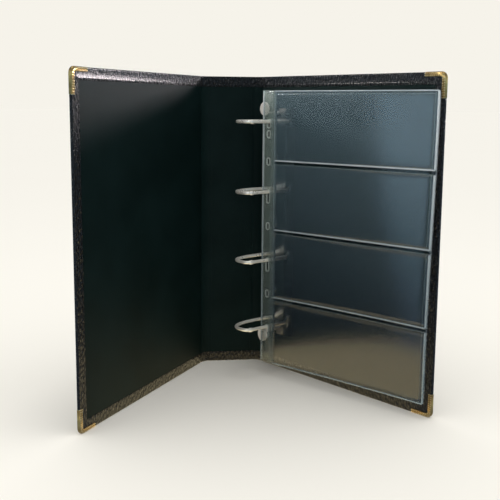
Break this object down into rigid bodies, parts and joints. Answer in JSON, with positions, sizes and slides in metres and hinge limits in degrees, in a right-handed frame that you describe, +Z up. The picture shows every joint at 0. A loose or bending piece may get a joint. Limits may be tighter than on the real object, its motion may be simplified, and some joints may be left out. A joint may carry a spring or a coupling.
{
  "type": "ring-bound coin album",
  "caption": "Ring-bound album for coin and banknote pocket sheets, standing open, with folding covers, a D-ring mechanism with opening levers, and clear turning sheets.",
  "frame": {"origin": "on the table under the middle of the spine, mid-way through its thickness", "axes": "+Z up, X along the spine's width with the front cover at -X, -Y towards the reader"},
  "size_m": [0.3626, 0.239, 0.352],
  "materials": {
    "leatherette": "black grained leatherette, glossy",
    "grey_board": "grey board",
    "liner": "matt black, fine grain",
    "gilt_brass": "gilt, embossed",
    "ring_chrome": "bright nickel plate",
    "plate_chrome": "bright nickel plate",
    "spring_steel": "plain steel",
    "pin_steel": "nickel plated steel",
    "lever_chrome": "bright nickel plate",
    "clear_film": "clear soft film",
    "strip_film": "slightly milky film"
  },
  "bodies": {
    "spine": {"spine_board": "grey_board", "spine_liner": "liner", "spine_skin": "leatherette"},
    "front_fold": {"front_fold_lining": "liner", "front_fold_skin": "leatherette"},
    "front_cover": {"front_corner_bottom": "gilt_brass", "front_corner_top": "gilt_brass", "front_cover_board": "grey_board", "front_cover_liner": "liner", "front_cover_skin": "leatherette"},
    "back_fold": {"back_fold_lining": "liner", "back_fold_skin": "leatherette"},
    "back_cover": {"back_corner_bottom": "gilt_brass", "back_corner_top": "gilt_brass", "back_cover_board": "grey_board", "back_cover_liner": "liner", "back_cover_skin": "leatherette", "lever_pin_bottom": "pin_steel", "lever_pin_top": "pin_steel", "ring_housing": "plate_chrome", "rivet_1": "pin_steel", "rivet_2": "pin_steel", "rivet_3": "pin_steel", "rivet_spacer_1": "pin_steel", "rivet_spacer_2": "pin_steel", "rivet_spacer_3": "pin_steel", "rivet_washer_1": "pin_steel", "rivet_washer_2": "pin_steel", "rivet_washer_3": "pin_steel"},
    "post_frame": {"post_blade": "spring_steel", "ring_post_1": "ring_chrome", "ring_post_2": "ring_chrome", "ring_post_3": "ring_chrome", "ring_post_4": "ring_chrome"},
    "arm_frame": {"arm_blade": "spring_steel", "ring_arm_1": "ring_chrome", "ring_arm_2": "ring_chrome", "ring_arm_3": "ring_chrome", "ring_arm_4": "ring_chrome"},
    "lever_top": {"lever_top": "lever_chrome"},
    "lever_bottom": {"lever_bottom": "lever_chrome"},
    "sheet_strips": {"sheet_1_strip": "strip_film", "sheet_2_strip": "strip_film"},
    "sheet_1": {"sheet_1_back_film": "clear_film", "sheet_1_pocket_1": "clear_film", "sheet_1_pocket_2": "clear_film", "sheet_1_pocket_3": "clear_film", "sheet_1_pocket_4": "clear_film"},
    "sheet_2": {"sheet_2_back_film": "clear_film", "sheet_2_pocket_1": "clear_film", "sheet_2_pocket_2": "clear_film", "sheet_2_pocket_3": "clear_film", "sheet_2_pocket_4": "clear_film"}
  },
  "joints": [
    {"name": "front_cover_swing", "type": "hinge", "parent": "spine", "child": "front_fold", "pos_m": [-0.02435, 0.00115, 0.176], "axis": [0, 0, 1], "range_deg": [-29.75, 15.25]},
    {"name": "front_cover_fold", "type": "hinge", "parent": "front_fold", "child": "front_cover", "pos_m": [-0.04145, -0.00863, 0.176], "axis": [0, 0, 1], "range_deg": [-29.75, 15.25]},
    {"name": "back_cover_swing", "type": "hinge", "parent": "spine", "child": "back_fold", "pos_m": [0.02435, 0.00115, 0.176], "axis": [0, 0, -1], "range_deg": [-28.4, 16.6]},
    {"name": "back_cover_fold", "type": "hinge", "parent": "back_fold", "child": "back_cover", "pos_m": [0.04168, -0.00822, 0.176], "axis": [0, 0, -1], "range_deg": [-28.4, 16.6]},
    {"name": "rings_open", "type": "hinge", "parent": "back_cover", "child": "arm_frame", "pos_m": [0.0399, -0.01536, 0.18], "axis": [0, 0, 1], "range_deg": [-7.5, 0]},
    {"name": "posts_open", "type": "hinge", "parent": "back_cover", "child": "post_frame", "pos_m": [0.06717, -0.05703, 0.18], "axis": [0, 0, -1], "range_deg": [-7.5, 0]},
    {"name": "lever_top_tilt", "type": "hinge", "parent": "back_cover", "child": "lever_top", "pos_m": [0.05169, -0.0374, 0.31], "axis": [0.5476, -0.8368, 0], "range_deg": [-26, 0]},
    {"name": "lever_bottom_tilt", "type": "hinge", "parent": "back_cover", "child": "lever_bottom", "pos_m": [0.05169, -0.0374, 0.05], "axis": [-0.5476, 0.8368, 0], "range_deg": [-26, 0]},
    {"name": "strips_follow_posts", "type": "hinge", "parent": "post_frame", "child": "sheet_strips", "pos_m": [0.03576, -0.06766, 0.18], "axis": [0, 0, 1], "range_deg": [-7.5, 0]},
    {"name": "sheet_1_turn", "type": "hinge", "parent": "sheet_strips", "child": "sheet_1", "pos_m": [0.04058, -0.07503, 0.176], "axis": [0, 0, 1], "range_deg": [-50, 0]},
    {"name": "sheet_2_turn", "type": "hinge", "parent": "sheet_1", "child": "sheet_2", "pos_m": [0.04058, -0.07503, 0.176], "axis": [0, 0, 1], "range_deg": [-45, 0]}
  ],
  "couplings": [
    {"joint": "front_cover_fold", "follows": "front_cover_swing", "ratio": 1},
    {"joint": "back_cover_fold", "follows": "back_cover_swing", "ratio": 1},
    {"joint": "posts_open", "follows": "rings_open", "ratio": 1},
    {"joint": "strips_follow_posts", "follows": "rings_open", "ratio": 1},
    {"joint": "lever_top_tilt", "follows": "rings_open", "ratio": 3.4667},
    {"joint": "lever_bottom_tilt", "follows": "rings_open", "ratio": 3.4667}
  ]
}
